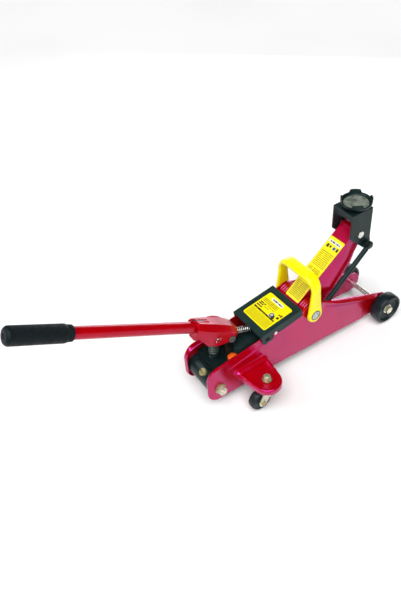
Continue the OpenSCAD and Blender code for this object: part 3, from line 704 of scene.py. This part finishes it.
def saddle():
    """Cast cup: four rounded lugs on the rim, worn grey floor."""
    base = PLATE_Z + 0.3
    n = 144
    lug_top, rim_top = base + 17.2, base + 10.6

    def lug(k):
        a = (360.0 * k / n - LUG_AT) % 90
        a = min(a, 90 - a)
        return smooth((LUG_SPAN - a) / 8)

    profile = [(0.01, 0, 0), (24.0, 0, 0), (28.0, 1.8, 0), (30.6, 4.4, 0), (31.6, 6.8, 0),
               (31.9, 8.6, 0), (SADDLE_R, 10.0, 1), (31.2, 10.6, 1), (29.8, 10.6, 1),
               (29.0, 9.8, 1), (28.2, 8.0, 0), (26.6, 6.2, 0), (25.6, 5.4, 0), (0.01, 5.4, 0)]
    rings = []
    for r, h, top in profile:
        ring = []
        for k in range(n):
            a = 2 * math.pi * k / n
            z = base + h + top * (lug_top - rim_top) * lug(k)
            ring.append(at(SADDLE_X + r * math.cos(a), r * math.sin(a), z))
        rings.append(ring)
    stem_r = 8.0
    stem = [[at(SADDLE_X + stem_r * c, stem_r * s, z) for c, s in circle(32)]
            for z in (PLATE_Z - 7.5, base + 0.5)]
    verts, faces = joined(loft(rings), loft(stem))
    piece("saddle_casting", verts, faces, "saddle_body", "black_paint", ("saddle",), crease=42.0)
    floor = [[at(SADDLE_X + r * c, r * s, z) for c, s in circle(72)]
             for r, z in ((25.2, base + 5.2), (25.2, base + 5.6), (24.4, base + 5.8),
                          (18, base + 5.6), (0.01, base + 5.7))]
    verts, faces = loft(floor)
    piece("saddle_floor", verts, faces, "saddle_body", "black_paint", crease=42.0,
          material=SEAT_GREY)


saddle()


# ---------------------------------------------------------------- labels

def bars(place, lift, rows):
    """Plain printed bars, each (a0, a1, y0, y1), lying on a label."""
    return joined(*[block(place, a0, a1, y0, y1, lift - 0.3, lift + 0.12)
                    for a0, a1, y0, y1 in rows])


def words(a0, a1, y0, y1, count, gap=0.18):
    """A row across the label broken into plain blocks of unequal length."""
    pattern = [3, 5, 2, 6, 4, 3, 7, 2, 5, 4, 6, 3]
    lengths = [pattern[i % len(pattern)] for i in range(count)]
    step = (y1 - y0) / sum(lengths)
    rows, y = [], y0
    for length in lengths:
        rows.append((a0, a1, y, y + step * (length - gap * 4)))
        y += step * length
    return rows


def disc(place, a, y, r, lift, n=28):
    """A round printed spot."""
    return loft([[place(a + r * c, y + r * s, b) for c, s in circle(n)]
                 for b in (lift - 0.3, lift + 0.14)])


def sheet(place, a0, a1, y0, y1, radius, b0, b1):
    """A thin sheet with rounded corners."""
    corners = [(a1 - radius, y1 - radius, 0), (a0 + radius, y1 - radius, 90),
               (a0 + radius, y0 + radius, 180), (a1 - radius, y0 + radius, 270)]
    outline = [(a + radius * math.cos(math.radians(turn + 15 * k)),
                y + radius * math.sin(math.radians(turn + 15 * k)))
               for a, y, turn in corners for k in range(7)]
    return loft([[place(a, y, b) for a, y in outline] for b in (b0, b1)])


def cover_print():
    """Rows run across the cover; the top of the label is towards the front."""
    lift = -0.86
    piece("cover_label_sheet", *sheet(in_cover, 16.2, 89.8, -35.8, 35.8, 4.5, -1.38, -0.9), "frame",
          "yellow_label", ("cover_label",))
    white = sheet(in_cover, 77.0, 84.5, -15, 19, 2.5, lift - 0.3, lift + 0.1)
    ink, olive = words(79, 82.4, -12.5, 16.5, 5, 0.24), []
    for u in (72.0, 68.6, 65.2):
        ink += words(u, u + 1.3, -12, 33, 8, 0.16)
    ink += words(59.0, 61.8, 14, 33, 2) + words(60.2, 61.2, -12, 11, 5)
    ink += words(54.6, 57.6, 18, 33, 2, 0.10) + words(55.2, 56.4, 0, 15, 4)
    ink += words(49.2, 52.4, 16, 33, 2, 0.10)
    ink += words(42.0, 46.2, -31, 33, 9, 0.10)
    ink += [(60.0, 66.5, -33, -29.5), (61.0, 64.5, -28, -24.5), (52.5, 57.5, -32.5, -26.5)]
    ink += [(44.5, 50.5, -25, -19), (47.0, 54.5, -23, -17.5)]
    for i in range(7):
        u = 19.4 + 3.05 * i
        olive += words(u, u + 1.5, -33, 33, 7, 0.08)
    piece("cover_print_black", *bars(in_cover, lift, ink), "frame", "yellow_label", material=INK)
    piece("cover_print_olive", *bars(in_cover, lift, olive), "frame", "yellow_label",
          material=OLIVE)
    piece("cover_print_white", *white, "frame", "yellow_label", material=WHITE)
    piece("cover_print_blue", *disc(in_cover, 52, -14.5, 5.4, lift), "frame", "yellow_label",
          material=BLUE)
    piece("cover_print_pale", *disc(in_cover, 52.3, -14.5, 2.4, lift + 0.1), "frame",
          "yellow_label", material=LABEL)


def cover_tab_hole_shades():
    """Painted shade: black discs on the plate inside the fixing holes of the cover's side tabs,
    standing in for the shade down in the holes.
    """
    centre = in_cover(14, 0, -16)
    x, z = centre.x * 1000 - AXLE_X, centre.z * 1000
    for side, word in SIDES:
        verts, faces = turned_about_y([(0.01, 44.6), (4.9, 44.6), (4.9, 45.4), (0.01, 45.4)],
                                      x, z, side, 32)
        # painted shade: a black disc where the hole lies in shade
        piece("cover_tab_hole_shade_" + word, verts, faces, "frame", "cover_black", material=RUBBER)


def arm_top(a, y, b):
    """b stands on the arm's sloping top."""
    return in_arm(a, y, ARM_TOP + (a + 14) * ARM_TOP_SLOPE + b)


def arm_print():
    """Rows run across the arm; the top of the label is towards the saddle."""
    lift = 0.44
    piece("arm_label_sheet", *sheet(arm_top, -1.8, 149.8, -20.1, 20.1, 3.0, 0.02, 0.4), "arm",
          "yellow_label", ("arm_label",))
    ink = words(138.6, 141.4, -14, 15, 5, 0.3)
    ink += [(125.5, 133, 9, 15), (127.0, 132, 2, 6.5), (126, 133.5, -17, -12)]
    olive = []
    for i in range(31):
        a = 4.0 + 3.7 * i
        if i in (10, 20):
            continue
        if i % 10 > 5:
            olive += words(a, a + 1.8, -15, 5, 4, 0.08) + words(a, a + 1.8, 7, 17, 2, 0.08)
        else:
            olive += words(a, a + 1.9, -17, 17, 6, 0.08)
    piece("arm_print_white", *bars(arm_top, lift, [(136.8, 143.2, -17, 17)]), "arm",
          "yellow_label", material=WHITE)
    piece("arm_print_black", *bars(arm_top, lift + 0.1, ink), "arm", "yellow_label", material=INK)
    piece("arm_print_olive", *bars(arm_top, lift, olive), "arm", "yellow_label", material=OLIVE)
    piece("arm_print_blue", *disc(arm_top, 129.5, -6.0, 3.6, lift), "arm", "yellow_label",
          material=BLUE)


cover_print()
cover_tab_hole_shades()
arm_print()


# ---------------------------------------------------------------- everything else

# How far the edges of the nodes kept from CAD are rounded, in mm
EDGES = {
    "cover_plate": 1.1, "lift_arm": 1.4, "saddle_bracket": 1.3, "pump_block": 1.2,
    "reservoir_tube": 0.4, "gland_nut": 1.0, "pump_sleeve": 0.8, "pump_plunger": 0.8,
    "front_wheel_left": 0.5, "front_wheel_right": 0.5, "caster_wheel_left": 0.5,
    "caster_wheel_right": 0.5, "caster_fork_left": 0.7, "caster_fork_right": 0.7,
    "rear_bolts": 0.7, "axle_nuts": 0.7, "caster_bolts": 0.7, "caster_nuts": 0.7,
    "rear_washers": 0.4, "axle_washers": 0.4, "caster_washers": 0.4, "shaft_caps": 0.6,
    "link_rod": 0.9, "bracket_pin": 0.5, "link_pin": 0.5, "socket_pivot_pin": 0.5,
    "drive_pin": 0.6, "filler_plug": 0.8, "valve_screw": 0.7, "handle_bracket": 0.8,
    "ram_yoke": 0.8, "cover_screws": 0.6, "caster_races": 0.8,
    "axle_collars": 0.5, "caster_rivet_left": 0.4, "caster_rivet_right": 0.4,
    "saddle_screw": 0.6,
}
# Finishes that differ from the node's slot
SPECIAL = {
    "rear_bolts": PALE_ZINC, "caster_nuts": PALE_ZINC, "caster_fork_left": PALE_ZINC,
    "caster_fork_right": PALE_ZINC, "rear_washers": DULL_GOLD, "caster_washers": DULL_GOLD,
    "caster_rivet_left": DULL_GOLD, "caster_rivet_right": DULL_GOLD,
    "socket_pivot_pin": DARK_STEEL, "shaft_caps": MOTTLED, "pump_plunger": DARK_STEEL,
    "pump_sleeve": BLACK_PAINT, "drive_pin": CHROME,
}
for node, width in EDGES.items():
    softened(node, width, material=SPECIAL.get(node))
for node, obj in frame["nodes"].items():
    obj.data.materials.clear()
    obj.data.materials.append(SLOT_FINISH[NODE_SLOT[node]])


# ---------------------------------------------------------------- stage, light, camera

def stage_floor():
    """A plain pale floor, half a millimetre below the wheels."""
    mat = finish("floor_finish", (0.93, 0.93, 0.93), (0.90, 0.90, 0.90), 0.85, grain=0.7,
                 bump=0.0)
    mesh = bpy.data.meshes.new("floor")
    half, level = 9.0, -0.0005
    mesh.from_pydata([(-half, -half, level), (half, -half, level), (half, half, level),
                      (-half, half, level)], [], [(0, 1, 2, 3)])
    mesh.materials.append(mat)
    obj = bpy.data.objects.new("floor", mesh)
    bpy.context.scene.collection.objects.link(obj)
    return obj


def soft_light(name, place, aim, size, power):
    """A rectangular lamp; places in metres, power in watts."""
    data = bpy.data.lights.new(name, "AREA")
    data.shape = "RECTANGLE"
    data.size, data.size_y = size
    data.energy = power
    obj = bpy.data.objects.new(name, data)
    bpy.context.scene.collection.objects.link(obj)
    obj.location = place
    direction = Vector(aim) - Vector(place)
    obj.rotation_euler = direction.to_track_quat("-Z", "Y").to_euler()
    return obj


def world_light(horizon, zenith):
    """White near the horizon, dim overhead, as round a table in a studio."""
    world = bpy.data.worlds.new("studio")
    world.use_nodes = True
    tree = world.node_tree
    split = tree.nodes.new("ShaderNodeSeparateXYZ")
    tree.links.new(tree.nodes.new("ShaderNodeTexCoord").outputs["Generated"], split.inputs[0])
    level = ranged(tree, split.outputs["Z"], horizon, zenith, 0.12, 0.55)
    tree.links.new(level, tree.nodes["Background"].inputs["Strength"])
    bpy.context.scene.world = world


def sun(direction, spread, strength):
    """A wide sky panel; spread is in degrees."""
    data = bpy.data.lights.new("sky_panel", "SUN")
    data.energy = strength
    data.angle = math.radians(spread)
    obj = bpy.data.objects.new("sky_panel", data)
    bpy.context.scene.collection.objects.link(obj)
    obj.rotation_euler = Vector(direction).to_track_quat("-Z", "Y").to_euler()


CAMERA_AT = (-845.94, -722.95, 1013.88)
YAW, PITCH, ROLL = 60.11, -42.43, -5.24         # degrees
LENS, SENSOR = 37.1615, 36.0                    # mm
LENS_SHIFT = (-0.004476, -0.000649)             # share of the picture's height


def camera():
    """From behind the right rear corner, well above the jack, with a slight roll."""
    yaw, pitch, roll = (math.radians(v) for v in (YAW, PITCH, ROLL))
    ahead = Vector((math.cos(yaw) * math.cos(pitch), math.sin(yaw) * math.cos(pitch),
                    math.sin(pitch)))
    level = ahead.cross(Vector((0, 0, 1))).normalized()
    up = level.cross(ahead)
    right = level * math.cos(roll) + up * math.sin(roll)
    top = -level * math.sin(roll) + up * math.cos(roll)
    data = bpy.data.cameras.new("photo")
    data.lens, data.sensor_width = LENS, SENSOR
    data.sensor_fit = "AUTO"
    data.shift_x, data.shift_y = LENS_SHIFT
    obj = bpy.data.objects.new("photo", data)
    bpy.context.scene.collection.objects.link(obj)
    turn = Matrix((right, top, -ahead)).transposed()
    obj.matrix_world = Matrix.Translation(at(*CAMERA_AT)) @ turn.to_4x4()
    bpy.context.scene.camera = obj


stage_floor()
world_light(1.05, 0.24)
sun((0.35, 0.45, -1.0), 60.0, 3.7)
soft_light("key", (-1.3, 0.6, 1.5), (0.0, 0.0, 0.1), (1.0, 0.5), 9.0)
soft_light("rim", (1.25, 1.1, 0.42), (0.1, 0.0, 0.12), (1.3, 0.5), 9.0)
camera()
bpy.context.scene.view_settings.view_transform = "Standard"
